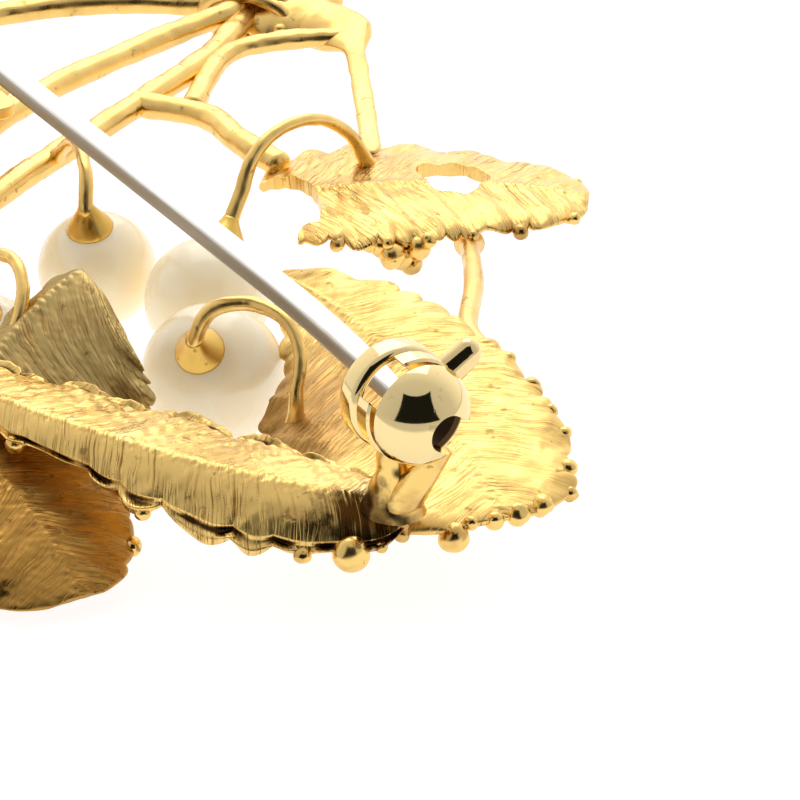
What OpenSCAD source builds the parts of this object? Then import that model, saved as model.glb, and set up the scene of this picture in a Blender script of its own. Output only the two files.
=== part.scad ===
// Gold leaf spray brooch with pearls, a hinged pin and a roll-over safety catch.
// It lies face down, back upwards: +Z is up and the pin runs along +X, from hinge to catch.

/* [Pin and hinge] */
// Height of the pin's axis above the surface that the brooch lies on
pin_z = 9.8; // [9.6:0.1:10.2]
// Radius of the pin stem along its straight part
pin_r = 0.55; // [0.4:0.05:0.6]
// Distance from the hinge rivet to the middle of the catch
pin_span = 43; // [42.5:0.5:43.5]
// Radius of the hinge rivet
rivet_r = 0.4; // [0.3:0.05:0.45]

/* [Safety catch] */
// Outer radius of the barrel and of the end cap
catch_r = 2.1; // [2.05:0.05:2.2]
// Width of the mouth that the pin leaves by
mouth_w = 1.5; // [1.3:0.1:1.7]
// Width of the gap in the rotor
rotor_gap = 1.9; // [1.7:0.1:2]
// Running clearance between the rotor and the fixed pieces
run_gap = 0.05; // [0.02:0.01:0.08]

/* [Leaves] */
// Thickness of a leaf at its spine
leaf_t = 0.7; // [0.6:0.05:0.9]
// Height of the teeth, as a share of the leaf's half width
tooth = 0.07; // [0:0.01:0.1]
// Radius of the largest granules on the leaf edges
granule_r = 0.55; // [0.4:0.05:0.6]

/* [Stems and pearls] */
// Radius of the stems
stem_r = 0.6; // [0.5:0.05:0.7]
// Radius of the wires that hold the pearls
wire_r = 0.3; // [0.25:0.05:0.35]
// Radius of the cup on each pearl
cup_r = 0.95; // [0.8:0.05:1.1]

/* [Hidden] */

$fn = 48;
gold = [0.86, 0.65, 0.28];
pale_gold = [0.95, 0.79, 0.45];
white_gold = [0.86, 0.83, 0.77];
pearl_white = [0.96, 0.92, 0.86];

// The catch stands here, and every place below is measured from the middle of its end cap's rim.
catch_x = 26.275;
catch_y = -1.2;

// Each leaf: [spine as four Bezier points, half widths, folds, curls, rolls at base and tip,
//   [where widest on the right, on the left, fullness], teeth,
//   openings as [first and last row, first and last column] of the leaf's cells].
// Pairs are [right, left] seen from base to tip. A fold tips a wing down from the spine,
// a curl bends it further, a roll lifts the left side.
leaves = [
    [[[-27, -13.5, 5.4], [-19, -11, 6.2], [-8, -8, 6.2], [-2.2, 0.8, 5]],
        [2.6, 3.7], [25, 4], [44, 8], [0, 0], [4.4, 1.6, 0.5], 14, []],
    [[[-22.5, 6, 4.9], [-16, 6.5, 5.7], [-8, 5.6, 5.8], [-0.8, 4.2, 4]],
        [6.4, 4.3], [0, -4], [8, 12], [24, 0], [2.7, 2.2, 0.36], 14, []],
    [[[-29, 8.6, 5.3], [-27, 12, 5.8], [-26, 17, 5.7], [-22.4, 22, 4.8]],
        [4.6, 5.8], [2, 3], [6, 8], [0, 0], [0.75, 1, 0.4], 14,
        [[[15, 20], [3, 5]], [[0, 5], [1, 3]], [[0, 3], [0, 0]]]],
    [[[-25, -15, 5], [-18, -12, 5.7], [-13.2, -10, 4], [-8, -10.4, 1.15]],
        [4.6, 4.1], [8, -4], [10, 14], [0, 0], [2.2, 1.9, 0.45], 14, []],
    [[[-18.6, -10.4, 4.4], [-20.2, -8.6, 5.4], [-21.4, -6, 6.8], [-21.2, -3.6, 8]],
        [6.9, 1.8], [14, 20], [10, 14], [0, 0], [0.85, 0.8, 0.38], 10, []],
    [[[-35, -6, 5.6], [-33, -11, 6.6], [-30, -16, 5], [-27.5, -21, 0.75]],
        [4.6, 4.2], [12, 12], [14, 14], [0, 0], [1, 1, 0.65], 14, []],
    [[[-46, 4.5, 6.1], [-45.5, -2, 7.4], [-45.5, -9, 6], [-44, -17, 0.75]],
        [5, 5], [8, 10], [14, 14], [0, 0], [1, 1, 0.6], 16, []]
];
CATCH = 0;
BROAD = 1;
FAN = 2;
LOW = 3;
UPRIGHT = 4;
SIDE = 5;
HINGE = 6;
grid_across = 8;
tip_w = 0.35;

// Granules on each leaf: [side, first tooth, last tooth, step between them].
granule_rows = [
    [[-1, 7, 13, 3]],
    [[-1, 9, 13, 2], [1, 9, 13, 2]],
    [[-1, 4, 6, 1], [-1, 10, 13, 2], [1, 9, 13, 2]],
    [[1, 9, 13, 2], [-1, 7, 13, 3]],
    [],
    [[1, 6, 13, 3], [-1, 6, 13, 3]],
    [[1, 7, 15, 4], [-1, 7, 15, 4]]
];

// Stems: routes that a smooth curve passes through.
gather = [-48.5, 18, 5.6];
stem_routes = [
    [[-52.5, 21, 5], gather + [0, 0.6, 0], [-52.2, 12.5, 5.6], [-53.4, 7, 5.6], [-52, 1, 5.6],
        [-47.6, -4.4, 5.6]],
    [[-51.4, 22, 5], gather + [0.8, 0.2, 0.3], [-46.2, 13, 5.8], [-43.6, 6.5, 5.9], [-40.4, 1.2, 6.05],
        [-37.2, -3.4, 5.8], [-34.6, -7, 5.5]],
    [[-50.2, 22.6, 5], gather + [1.6, -0.2, 0], [-43.2, 13.6, 5.6], [-38.8, 6, 5.5],
        [-33.8, -2.4, 5.4], [-26.6, -13, 5]],
    [[-40.3, 8.4, 5.5], [-37.2, 10.4, 5.6], [-33.4, 10.6, 5.5], [-30, 11, 5.4]],
    [[-49.2, 23, 5], gather + [2.2, 0.8, 0], [-44.8, 20.2, 5.6], [-41.8, 20.6, 5.6],
        [-36.8, 18.4, 5.7], [-31, 15.6, 5.3]]
];
bridge_near = [[-10.8, 9.4, 5.2], [-13, 9.9, 5.3], [-17, 12.6, 5.1], [-22, 15.4, 4.7]];
bridge_far = [[-42.2, 20.8, 5.6], [-43.2, 17.6, 5.7], [-43, 14.4, 5.6], [-38.8, 10.6, 5.5]];

// Pearls: centre, radius, way its peg points, and the wire's route from the cup to its solder joint.
pearls = [
    [[-18.5, 0.9, 3], 3, [0.5, -0.46, 0.73], [[-16.3, -0.2, 7.2], [-15.4, 1.2, 7.5], [-13.6, 1.8, 7.3],
        [-12.4, 1.7, 6.4], [-11.8, 1.2, 5.2], [-11.6, 1, 3.8]]],
    [[-25.4, 4.2, 2.7], 2.7, [-0.3, 0.5, 0.8], [[-26.9, 6.8, 6.6], [-27.3, 7.6, 7.9], [-27.8, 9.2, 8.7],
        [-28.4, 11.4, 8.5], [-29, 13.4, 7.1], [-29.35, 14.7, 4.8]]],
    [[-30.8, 1.6, 2.6], 2.6, [0.2, -0.21, 0.96], [[-31.2, 1.4, 7.4], [-34, 2.2, 7.4], [-36.4, 2.4, 5.6]]],
    [[-26.2, -6, 2.5], 2.5, [0.3, -0.2, 0.93], [[-25.4, -6.2, 7.2], [-23.6, -5.6, 7.8], [-21.8, -6, 7],
        [-20.8, -7.2, 5.2]]],
    [[-37.7, -6.3, 2.5], 2.5, [0.1, 0.2, 0.97], [[-37.2, -5.3, 6.6], [-36.7, -4.6, 6.6],
        [-36.4, -4.4, 5.7]]]
];
peg_r = 0.35;
peg_grip = 0.01;

// The pin lies a little above and beside the barrel's axis, where its own spring presses it.
pin_dy = 0.25;
pin_dz = 0.35;
knuckle_r = 1.0;
knuckle_w = 1.8;
ear_t = 0.65;
ear_gap = 0.05;
plate_t = 0.6;
plate_z = pin_z + pin_dz - 3.7;
pin_tip = 0.6;
taper = 7.5;
root_r = 0.8;
root_len = 2.2;

// Places along the catch's axis, from the rim of the end cap.
barrel_back = -2.6;
barrel_front = -1.4;
band_back = -1.32;
band_front = -0.45;
cap_straight = 0.25;
cap_h = 1.2;
wall = 0.35;
bore_r = catch_r - wall;
sleeve_r = bore_r - run_gap;
sleeve_in = sleeve_r - 0.3;
band_r = catch_r - 0.07;
mouth_at = -36;
gap_at = 130;
lever_at = 30;
lever_len = 1.4;

// ---- Leaf sheets ----
function bezier(p, t) =
    pow(1 - t, 3) * p[0] + 3 * pow(1 - t, 2) * t * p[1] + 3 * (1 - t) * t * t * p[2] + pow(t, 3) * p[3];
function bezier_way(p, t) =
    3 * pow(1 - t, 2) * (p[1] - p[0]) + 6 * (1 - t) * t * (p[2] - p[1]) + 3 * t * t * (p[3] - p[2]);
function unit(v) = v / norm(v);
function width_at(l, t, k) = pow(sin(180 * pow(t, l[5][k])), l[5][2]);
function zigzag(t, n) = 1 - abs(2 * (t * n - floor(t * n)) - 1);

// Point on a leaf's back: t from base to tip, s from -1 at the right edge to 1 at the left.
function leaf_point(l, t, s, down = 0) =
    let (way = unit(bezier_way(l[0], t)),
         side_flat = unit(cross([0, 0, 1], way)),
         up_flat = cross(way, side_flat),
         roll = l[4][0] + (l[4][1] - l[4][0]) * t,
         side = cos(roll) * side_flat + sin(roll) * up_flat,
         up = cos(roll) * up_flat - sin(roll) * side_flat,
         k = s < 0 ? 0 : 1,
         far = abs(s),
         toothed = 1 + tooth * zigzag(t, l[6]) * pow(far, 3),
         w = tip_w + (l[1][k] - tip_w) * width_at(l, t, k) * toothed,
         tip_down = l[2][k] + l[3][k] * far / 2)
    bezier(l[0], t) + side * (s * w * cos(tip_down)) - up * (far * w * sin(tip_down) + down);

module leaf_sheet(l) {
    long = 2 * l[6];
    wide = grid_across;
    t0 = 0.004;
    function within(x, span) = x >= span[0] && x <= span[1];
    function open(i, j) = len([for (o = l[7]) if (within(i, o[0]) && within(j, o[1])) 1]) > 0;
    pts = [for (down = [0, leaf_t]) for (i = [0:long]) for (j = [0:wide])
        leaf_point(l, t0 + (1 - 2 * t0) * i / long, 2 * j / wide - 1, down)];
    function at(i, j, low) = low * (long + 1) * (wide + 1) + i * (wide + 1) + j;
    function cell(i, j) = i >= 0 && i < long && j >= 0 && j < wide && !open(i, j);
    function wall(a, b) = [[a[0], b[0], b[1]], [a[0], b[1], a[1]]];
    function ends(i, j) = [at(i, j, 0), at(i, j, 1)];
    faces = [for (i = [0:long - 1]) for (j = [0:wide - 1]) if (cell(i, j)) each concat(
        [[at(i, j, 0), at(i, j + 1, 0), at(i + 1, j + 1, 0)],
         [at(i, j, 0), at(i + 1, j + 1, 0), at(i + 1, j, 0)],
         [at(i, j, 1), at(i + 1, j + 1, 1), at(i, j + 1, 1)],
         [at(i, j, 1), at(i + 1, j, 1), at(i + 1, j + 1, 1)]],
        cell(i, j - 1) ? [] : wall(ends(i, j), ends(i + 1, j)),
        cell(i, j + 1) ? [] : wall(ends(i + 1, j + 1), ends(i, j + 1)),
        cell(i - 1, j) ? [] : wall(ends(i, j + 1), ends(i, j)),
        cell(i + 1, j) ? [] : wall(ends(i + 1, j), ends(i + 1, j + 1)))];
    color(gold) polyhedron(pts, faces, convexity = 8);
}

// Balls fused to the teeth of one leaf.
module granules(which) {
    l = leaves[which];
    color(pale_gold)
    for (row = granule_rows[which])
        for (n = [row[1]:row[3]:row[2]])
            let (r = granule_r * (0.7 + 0.3 * cos(97 * (n - 13))))
            translate(leaf_point(l, (n + 0.5) / l[6], row[0], leaf_t / 2)) sphere(r, $fn = 32);
}

// ---- Tubes ----
function spline(p, i, u) =
    let (a = p[max(i - 1, 0)], b = p[i], c = p[i + 1], d = p[min(i + 2, len(p) - 1)])
    0.5 * (2 * b + (c - a) * u + (2 * a - 5 * b + 4 * c - d) * u * u + (3 * b - a - 3 * c + d) * u * u * u);
function smooth_route(p, parts) =
    [for (i = [0:len(p) - 2]) each [for (k = [0:parts - 1]) spline(p, i, k / parts)], p[len(p) - 1]];

module tube(route, r, across, sides = 10, r_end = 0) {
    n = len(route);
    last = r_end > 0 ? r_end : r;
    pts = [for (i = [0:n - 1])
        let (way = unit(route[min(i + 1, n - 1)] - route[max(i - 1, 0)]),
             u = unit(cross(way, across)),
             v = cross(way, u),
             ri = r + (last - r) * i / (n - 1))
        each [for (k = [0:sides - 1])
            route[i] + ri * (cos(360 * k / sides) * u + sin(360 * k / sides) * v)]];
    faces = concat(
        [[for (k = [0:sides - 1]) k]],
        [[for (k = [sides - 1:-1:0]) (n - 1) * sides + k]],
        [for (i = [0:n - 2]) for (k = [0:sides - 1]) each
            let (a = i * sides + k, b = i * sides + (k + 1) % sides)
            [[a, a + sides, b + sides], [a, b + sides, b]]]);
    polyhedron(pts, faces, convexity = 6);
}

module stem(which) {
    color(gold) tube(smooth_route(stem_routes[which], 5), stem_r, [0, 0, 1]);
}

// Wire wound round the stems where they gather.
module stem_binding() {
    turns = 3;
    steps = 14;
    way = unit([0.55, -0.83, 0]);
    side = cross([0, 0, 1], way);
    color(pale_gold)
    for (n = [0:turns - 1])
        let (mid = gather + [1.1, 0.25, 0] + way * (n - 1) * 0.75,
             loop = [for (k = [0:steps])
                 mid + side * 2.2 * cos(360 * k / steps) + [0, 0, 1.05] * sin(360 * k / steps)])
        tube([for (k = [0:steps - 1]) loop[k] + way * 0.1], 0.33, way, 8);
}

module bridge_rod_near() {
    color(gold) tube(smooth_route(bridge_near, 4), 0.45, [0, 0, 1]);
}

module bridge_rod_far() {
    color(gold) tube(smooth_route(bridge_far, 4), 0.5, [0, 0, 1]);
}

// ---- Pearls ----
// Places children on a pearl, with Z along its peg.
module on_pearl(p) {
    way = unit(p[2]);
    translate(p[0]) rotate([0, acos(way.z), atan2(way.y, way.x)]) children();
}

module pearl(which) {
    p = pearls[which];
    color(pearl_white) on_pearl(p)
    difference() {
        sphere(p[1], $fn = 64);
        translate([0, 0, -0.4]) cylinder(h = p[1] + 1, r = peg_r - peg_grip);
    }
}

// Cup that caps the pearl, with the peg that goes into it.
module pearl_cup(which) {
    p = pearls[which];
    color(gold) on_pearl(p) {
        difference() {
            translate([0, 0, p[1] - 0.3]) cylinder(h = 0.95, r1 = cup_r, r2 = wire_r + 0.08);
            sphere(p[1] - peg_grip, $fn = 64);
        }
        cylinder(h = p[1] + 0.4, r = peg_r);
    }
}

module pearl_wire(which) {
    p = pearls[which];
    way = unit(p[2]);
    top = p[0] + way * (p[1] + 0.35);
    route = concat([top, top + way * 0.6], p[3]);
    span = p[3][len(p[3]) - 1] - top;
    color(gold) tube(smooth_route(route, 5), wire_r, unit([-span.y, span.x, 0.1]), 8);
}

// ---- Hinge and pin ----
module along_y(mid, r, w) {
    translate([-pin_span, pin_dy + mid - w / 2, pin_z + pin_dz]) rotate([-90, 0, 0]) cylinder(h = w, r = r);
}

module hinge_plate() {
    color(gold) translate([-pin_span, pin_dy, plate_z])
    linear_extrude(plate_t)
    hull()
        for (x = [-2.6, 2.6], y = [-1.2, 1.2]) translate([x, y]) circle(0.8, $fn = 32);
}

module hinge_ears() {
    mid = knuckle_w / 2 + ear_gap + ear_t / 2;
    color(gold)
    for (side = [-1, 1])
        difference() {
            union() {
                along_y(side * mid, 1.05, ear_t);
                translate([-pin_span - 1.05, pin_dy + side * mid - ear_t / 2, plate_z + plate_t - 0.1])
                    cube([2.1, ear_t, 3.8 - plate_t]);
            }
            along_y(side * mid, rivet_r, ear_t + 1);
        }
}

module hinge_rivet() {
    outer = knuckle_w / 2 + ear_gap + ear_t;
    color(pale_gold) union() {
        along_y(0, rivet_r, 2 * outer + 0.4);
        for (side = [-1, 1]) along_y(side * (outer + 0.15), rivet_r + 0.25, 0.3);
    }
}

module pin_knuckle() {
    color(white_gold) difference() {
        along_y(0, knuckle_r, knuckle_w);
        along_y(0, rivet_r + 0.03, knuckle_w + 1);
    }
}

module pin_stem() {
    color(white_gold) difference() {
        translate([-pin_span, pin_dy, pin_z + pin_dz]) rotate([0, 90, 0]) union() {
            cylinder(h = root_len, r = root_r);
            cylinder(h = pin_span - taper, r = pin_r);
            translate([0, 0, pin_span - taper]) cylinder(h = taper + pin_tip, r1 = pin_r, r2 = 0.2);
        }
        along_y(0, knuckle_r - 0.15, knuckle_w);
    }
}

// ---- Safety catch ----
module round_x(x0, x1, r) {
    translate([x0, 0, pin_z]) rotate([0, 90, 0]) cylinder(h = x1 - x0, r = r);
}

// A slot cut outwards from the axis, at an angle from +Y towards +Z.
module slot_at(angle, w) {
    translate([0, 0, pin_z]) rotate([angle, 0, 0]) translate([-5, 0, -w / 2]) cube([10, 5, w]);
}

// A ring with a rounded outside, between two places on the axis.
module rounded_ring(x0, x1, r, inner, edge) {
    steps = 6;
    near = [for (k = [0:steps]) [r - edge + edge * sin(90 * k / steps), edge * (1 - cos(90 * k / steps))]];
    far = [for (k = [steps:-1:0]) [near[k].x, x1 - x0 - near[k].y]];
    translate([x0, 0, pin_z]) rotate([0, 90, 0])
    rotate_extrude() polygon(concat([[inner, 0]], near, far, [[inner, x1 - x0]]));
}

module catch_barrel() {
    color(pale_gold) difference() {
        rounded_ring(barrel_back, barrel_front, catch_r, bore_r, 0.3);
        slot_at(mouth_at, mouth_w);
    }
}

module catch_end_cap() {
    steps = 12;
    outside = [for (k = [0:steps])
        [catch_r * cos(90 * k / steps), cap_straight + cap_h * sin(90 * k / steps)]];
    inside = [for (k = [steps:-1:0])
        [bore_r * cos(90 * k / steps), cap_straight + (cap_h - wall) * sin(90 * k / steps)]];
    color(pale_gold) difference() {
        translate([0, 0, pin_z]) rotate([0, 90, 0])
            rotate_extrude() polygon(concat([[catch_r, 0]], outside, inside, [[bore_r, 0]]));
        slot_at(mouth_at, mouth_w);
    }
}

// Neck under the barrel with a spread foot, and a prop under the cap. The rotor turns between them.
module catch_foot() {
    color(gold) difference() {
        union() {
            hull() {
                translate([-2, 0, pin_z - 1.75]) cube([1.2, 1.1, 0.1], center = true);
                translate([-2, 0, pin_z - 2.7]) cube([1.2, 1.1, 0.1], center = true);
                translate([-2.3, 0.1, pin_z - 5]) cylinder(h = 0.3, r = 1.4, $fn = 32);
            }
            hull() {
                translate([0.35, 0.2, pin_z - 2.05]) cube([0.7, 0.9, 0.1], center = true);
                translate([-0.9, 0.4, pin_z - 4.7]) cylinder(h = 0.3, r = 0.9, $fn = 32);
            }
        }
        round_x(barrel_back - 1, cap_straight + 2, catch_r - 0.02);
        round_x(barrel_front, 0, catch_r + run_gap);
    }
}

module catch_rotor() {
    color(pale_gold) difference() {
        union() {
            round_x(barrel_back + 0.1, 0.2, sleeve_r);
            rounded_ring(band_back, band_front, band_r, sleeve_in, 0.15);
        }
        round_x(barrel_back - 1, 1, sleeve_in);
        slot_at(gap_at, rotor_gap);
    }
}

// Thumb lever that rolls the rotor over.
module catch_lever() {
    mid = (band_back + band_front) / 2;
    color(pale_gold) difference() {
        translate([mid, 0, pin_z]) rotate([lever_at, 0, 0])
        hull() {
            translate([0, band_r - 0.3, 0]) cube([band_front - band_back - 0.1, 0.4, 0.9], center = true);
            for (x = [-0.2, 0.2]) translate([x, band_r + lever_len - 0.35, 0.05]) sphere(0.36, $fn = 24);
        }
        round_x(barrel_back, 1, band_r - 0.1);
    }
}

module placed() {
    translate([catch_x, catch_y, 0]) children();
}

placed() {
    leaf_sheet(leaves[CATCH]);  // catch_leaf
    leaf_sheet(leaves[BROAD]);  // broad_leaf
    leaf_sheet(leaves[FAN]);  // fan_leaf
    leaf_sheet(leaves[LOW]);  // low_leaf
    leaf_sheet(leaves[UPRIGHT]);  // upright_leaf
    leaf_sheet(leaves[SIDE]);  // side_leaf
    leaf_sheet(leaves[HINGE]);  // hinge_leaf
    granules(CATCH);  // catch_leaf_granules
    granules(BROAD);  // broad_leaf_granules
    granules(FAN);  // fan_leaf_granules
    granules(LOW);  // low_leaf_granules
    granules(SIDE);  // side_leaf_granules
    granules(HINGE);  // hinge_leaf_granules
    stem(0);  // stem_outer
    stem(1);  // stem_hinge
    stem(2);  // stem_inner
    stem(3);  // stem_fan
    stem(4);  // stem_top
    stem_binding();
    bridge_rod_near();
    bridge_rod_far();
    for (n = [1:5]) {
        pearl(n - 1);
        pearl_cup(n - 1);
        pearl_wire(n - 1);
    }
    hinge_plate();
    hinge_ears();
    hinge_rivet();
    pin_knuckle();
    pin_stem();
    catch_foot();
    catch_barrel();
    catch_end_cap();
    catch_rotor();
    catch_lever();
}
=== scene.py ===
"""Looks of the leaf spray brooch: engraved leaves, granules, cast stems, pearls, pin and safety catch.

Sizes are in millimetres, measured from the middle of the catch's end cap rim, as in the part's source,
and turned into metres of the row frame when a mesh is made.
"""
import math
import random

import bmesh
import bpy
import numpy as np
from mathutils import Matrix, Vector


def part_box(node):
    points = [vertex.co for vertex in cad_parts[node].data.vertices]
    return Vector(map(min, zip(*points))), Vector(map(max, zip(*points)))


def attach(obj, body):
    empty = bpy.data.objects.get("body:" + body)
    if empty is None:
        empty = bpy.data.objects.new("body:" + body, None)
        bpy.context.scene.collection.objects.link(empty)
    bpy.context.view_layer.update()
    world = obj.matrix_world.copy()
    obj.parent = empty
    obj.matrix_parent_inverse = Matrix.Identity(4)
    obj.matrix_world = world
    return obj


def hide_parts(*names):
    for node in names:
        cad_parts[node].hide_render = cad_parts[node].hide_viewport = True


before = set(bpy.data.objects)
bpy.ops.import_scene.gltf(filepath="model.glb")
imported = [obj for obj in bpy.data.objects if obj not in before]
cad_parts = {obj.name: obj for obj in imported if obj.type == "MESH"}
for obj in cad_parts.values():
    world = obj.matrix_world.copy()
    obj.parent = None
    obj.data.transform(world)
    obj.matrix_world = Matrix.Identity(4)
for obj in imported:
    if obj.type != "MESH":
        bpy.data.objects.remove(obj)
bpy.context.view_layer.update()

MM = 0.001
UP = np.array([0.0, 0.0, 1.0])

# The catch's place and height are read from the CAD pieces; everything else is measured from it.
cap_low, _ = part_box("catch_end_cap")
barrel_low, barrel_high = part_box("catch_barrel")
plate_low, plate_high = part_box("hinge_plate")
PLACE = np.array([cap_low.x, (barrel_low.y + barrel_high.y) / 2, 0.0]) / MM
AXIS_Z = (barrel_low.z + barrel_high.z) / 2 / MM
CATCH_R = (barrel_high.z - barrel_low.z) / 2 / MM
WALL = 0.35  # of the catch's barrel and cap
# The pin lies a little to one side of the catch's axis and above it.
PIN_DY = 0.25
PIN_DZ = 0.35
PIN_Z = AXIS_Z + PIN_DZ
PIN_SPAN = 43.0
PIN_R = 0.55


# ---------------------------------------------------------------- small maths
def unit(v):
    v = np.asarray(v, float)
    return v / np.linalg.norm(v, axis=-1, keepdims=True)


def bezier(p, t):
    p = np.asarray(p, float)
    t = np.asarray(t, float)[..., None]
    u = 1 - t
    return u**3 * p[0] + 3 * u**2 * t * p[1] + 3 * u * t**2 * p[2] + t**3 * p[3]


def bezier_way(p, t):
    p = np.asarray(p, float)
    t = np.asarray(t, float)[..., None]
    u = 1 - t
    return unit(3 * u**2 * (p[1] - p[0]) + 6 * u * t * (p[2] - p[1]) + 3 * t**2 * (p[3] - p[2]))


def smooth_route(points, parts):
    """A Catmull-Rom curve through the points, as the CAD stems follow."""
    p = np.asarray(points, float)
    out = []
    for i in range(len(p) - 1):
        a, b = p[max(i - 1, 0)], p[i]
        c, d = p[i + 1], p[min(i + 2, len(p) - 1)]
        for u in np.arange(parts) / parts:
            out.append(0.5 * (2 * b + (c - a) * u + (2 * a - 5 * b + 4 * c - d) * u**2
                              + (3 * b - a - 3 * c + d) * u**3))
    out.append(p[-1])
    return np.array(out)


def wobble(points, pitch, seed, waves=7):
    """Smooth pseudo-random bumps from -1 to 1, about pitch mm apart."""
    rng = np.random.default_rng(seed)
    total = np.zeros(points.shape[:-1])
    for _ in range(waves):
        way = unit(rng.normal(size=3)) * 2 * math.pi / (pitch * rng.uniform(0.6, 1.6))
        total += np.sin(points @ way + rng.uniform(0, 2 * math.pi))
    return total / math.sqrt(waves) / 1.6


# ---------------------------------------------------------------- meshes
def mesh_object(name, verts, faces, slot, body="spray", smooth=True, sharp=None, finish=None,
                hollow=None):
    """A piece from points in mm, riding on a CAD body, in a slot's material or in a finish of its own.

    hollow tells the material how deep each point lies, from 0 on raised parts to 1.
    """
    mesh = bpy.data.meshes.new(name)
    mesh.from_pydata([tuple(v) for v in (np.asarray(verts, float) + PLACE) * MM], [], faces)
    mesh.validate()
    if hollow is not None:
        mesh.attributes.new("hollow", "FLOAT", "POINT").data.foreach_set("value", hollow)
    obj = bpy.data.objects.new(name, mesh)
    bpy.context.scene.collection.objects.link(obj)
    edit = bmesh.new()
    edit.from_mesh(mesh)
    bmesh.ops.remove_doubles(edit, verts=edit.verts, dist=1e-7)
    bmesh.ops.dissolve_degenerate(edit, edges=edit.edges, dist=1e-8)
    bmesh.ops.recalc_face_normals(edit, faces=edit.faces)
    edit.to_mesh(mesh)
    edit.free()
    for poly in mesh.polygons:
        poly.use_smooth = smooth
    if sharp is not None:
        mesh.set_sharp_from_angle(angle=math.radians(sharp))
    obj.data.materials.append(MATERIALS[finish or slot])
    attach(obj, body)
    return obj


def grid_faces(rows, cols, first=0, wrap=False, flip=False):
    faces = []
    for i in range(rows - 1):
        for j in range(cols if wrap else cols - 1):
            a = first + i * cols + j
            b = first + i * cols + (j + 1) % cols
            quad = (a, b, b + cols, a + cols)
            faces.append(quad[::-1] if flip else quad)
    return faces


def tube_faces(rows, sides):
    """Faces of a tube made of rings, closed at both ends."""
    ends = [tuple(range(sides))[::-1], tuple((rows - 1) * sides + k for k in range(sides))]
    return grid_faces(rows, sides, wrap=True) + ends


def drum_faces(n):
    """Faces over two outlines of n points each, and between them."""
    ends = [tuple(range(n)), tuple(range(n, 2 * n))]
    return ends + [(k, (k + 1) % n, n + (k + 1) % n, n + k) for k in range(n)]


def joined(parts):
    """One mesh from several pairs of points and faces."""
    verts, faces, count = [], [], 0
    for pts, part in parts:
        faces += [tuple(i + count for i in face) for face in part]
        verts.append(pts)
        count += len(pts)
    return np.vstack(verts), faces


def tube_points(route, radii, across, sides, squash=1.0):
    """Rings round a route. across is a direction that no part of the route runs along."""
    n = len(route)
    nxt = route[np.minimum(np.arange(n) + 1, n - 1)]
    prv = route[np.maximum(np.arange(n) - 1, 0)]
    way = unit(nxt - prv)
    u = unit(np.cross(way, across))
    v = np.cross(way, u)
    ang = np.arange(sides) * 2 * math.pi / sides
    radii = np.broadcast_to(radii, (n,))[:, None, None]
    ring = np.cos(ang)[None, :, None] * u[:, None] + squash * np.sin(ang)[None, :, None] * v[:, None]
    return route[:, None] + radii * ring


def rounded_ends(route, radii, r_end):
    """Extra rings at both ends, so that a tube ends in a rounded nose."""
    head, tail = unit(route[0] - route[1]), unit(route[-1] - route[-2])
    steps = np.linspace(0, 1, 6)[1:]
    nose = [route[0] + head * r_end * math.sin(a * math.pi / 2) for a in steps[::-1]]
    toe = [route[-1] + tail * r_end * math.sin(a * math.pi / 2) for a in steps]
    shrink = [max(math.cos(a * math.pi / 2), 0.02) for a in steps]
    return (np.vstack([nose, route, toe]),
            np.concatenate([radii[0] * np.array(shrink[::-1]), radii, radii[-1] * np.array(shrink)]))


def tube(name, route, radii, across, slot, body="spray", sides=20, rough=0.0, pitch=1.2, seed=1,
         squash=1.0):
    radii = np.broadcast_to(radii, (len(route),)).astype(float)
    route, radii = rounded_ends(route, radii, 0.6 * float(radii[0]))
    pts = tube_points(route, radii, np.asarray(across, float), sides, squash)
    if rough:
        out = unit(pts - route[:, None])
        lumps = wobble(pts, pitch, seed) + 0.5 * wobble(pts, pitch / 2.5, seed + 1)
        pts = pts + out * (rough * lumps)[..., None]
    return mesh_object(name, pts.reshape(-1, 3), tube_faces(len(route), sides), slot, body)


def lathe(profile, segments=144, centre=(0, 0, 0), axis="X"):
    """Points and faces of a closed profile of (along, radius) pairs turned about an axis."""
    ang = np.arange(segments) * 2 * math.pi / segments
    prof = np.asarray(profile, float)
    along = np.repeat(prof[:, 0][:, None], segments, 1)
    c, s = prof[:, 1][:, None] * np.cos(ang), prof[:, 1][:, None] * np.sin(ang)
    order = {"X": (along, c, s), "Y": (s, along, c), "Z": (c, s, along)}[axis]
    pts = np.stack(order, -1) + np.asarray(centre, float)
    rows = len(prof)
    faces = grid_faces(rows, segments, wrap=True)
    closed = prof[0, 1] > 1e-6 and prof[-1, 1] > 1e-6
    if closed:
        last = (rows - 1) * segments
        for k in range(segments):
            faces.append((last + k, last + (k + 1) % segments, (k + 1) % segments, k))
    return pts.reshape(-1, 3), faces


def arc(mid, r, start, stop, steps=8):
    """(along, radius) points on a circle, with angles from the along axis."""
    return [(mid[0] + r * math.cos(math.radians(a)), mid[1] + r * math.sin(math.radians(a)))
            for a in np.linspace(start, stop, steps)]


def soften(obj, width, segments=3, angle=35):
    """Rounds a piece's hard edges."""
    bevel = obj.modifiers.new("edge", "BEVEL")
    bevel.width = width * MM
    bevel.segments = segments
    bevel.limit_method = "ANGLE"
    bevel.angle_limit = math.radians(angle)
    bevel.harden_normals = True
    return obj


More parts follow.
